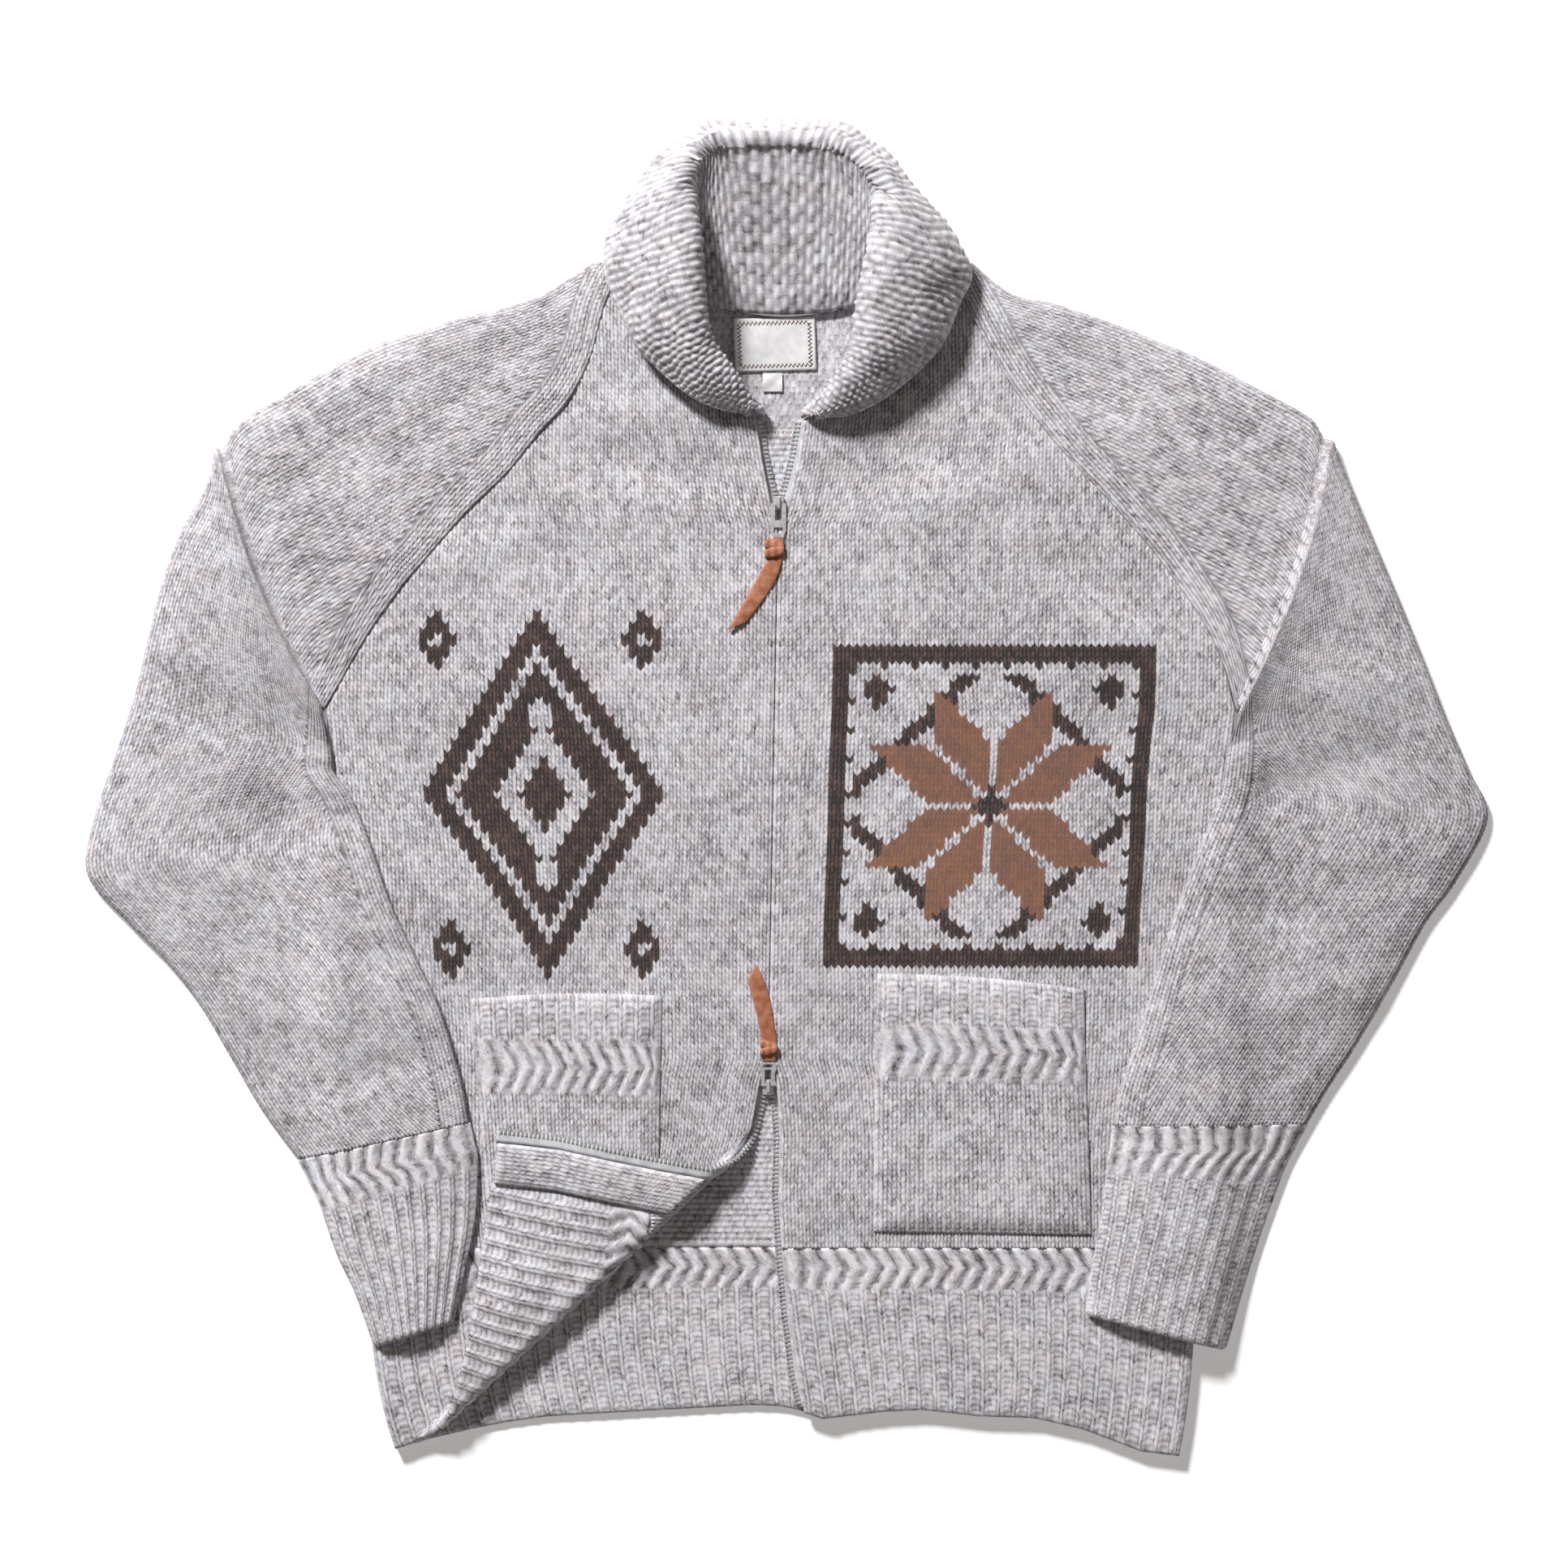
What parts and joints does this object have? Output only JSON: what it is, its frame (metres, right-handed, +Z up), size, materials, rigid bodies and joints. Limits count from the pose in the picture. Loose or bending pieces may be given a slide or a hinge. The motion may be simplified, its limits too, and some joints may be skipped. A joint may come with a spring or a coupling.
{
  "type": "cardigan",
  "caption": "Chunky knit shawl-collar cardigan with a two-way zip and patch pockets, laid flat on its back with one lower corner folded up.",
  "frame": {"origin": "centre of the bounding box's base, on the surface the garment lies on", "axes": "+X to the wearer's left (the picture's right), +Y from the hem to the collar, +Z up, away from the surface"},
  "size_m": [0.8288, 0.7904, 0.0482],
  "materials": {
    "grey_knit": "thick heathered grey wool knit with dark brown and tan motifs",
    "zip_tape": "woven off-white zip tape",
    "zip_metal": "cast silver-coloured metal",
    "leather_thong": "mid-brown leather",
    "label_cloth": "silvery woven label, left bare"
  },
  "bodies": {
    "garment": {"back": "grey_knit", "hem_back": "grey_knit", "front_right": "grey_knit", "hem_right": "grey_knit", "front_left": "grey_knit", "hem_left": "grey_knit", "sleeve_right": "grey_knit", "sleeve_left": "grey_knit", "cuff_right": "grey_knit", "cuff_left": "grey_knit", "collar": "grey_knit", "pocket_right": "grey_knit", "pocket_left": "grey_knit", "facing_right": "grey_knit", "zip_tape_right": "zip_tape", "zip_tape_left": "zip_tape", "slider_top": "zip_metal", "slider_bottom": "zip_metal", "label": "label_cloth", "size_tab": "label_cloth"},
    "pull_top": {"pull_top": "zip_metal", "strap_top": "leather_thong"},
    "pull_bottom": {"pull_bottom": "zip_metal", "strap_bottom": "leather_thong"}
  },
  "joints": [
    {"name": "pull_top_hinge", "type": "hinge", "parent": "garment", "child": "pull_top", "pos_m": [-0.00562, 0.16805, 0.011], "axis": [-1, 0, 0], "range_deg": [0, 150]},
    {"name": "pull_bottom_hinge", "type": "hinge", "parent": "garment", "child": "pull_bottom", "pos_m": [-0.01171, -0.17515, 0.011], "axis": [1, 0, 0], "range_deg": [0, 150]}
  ]
}
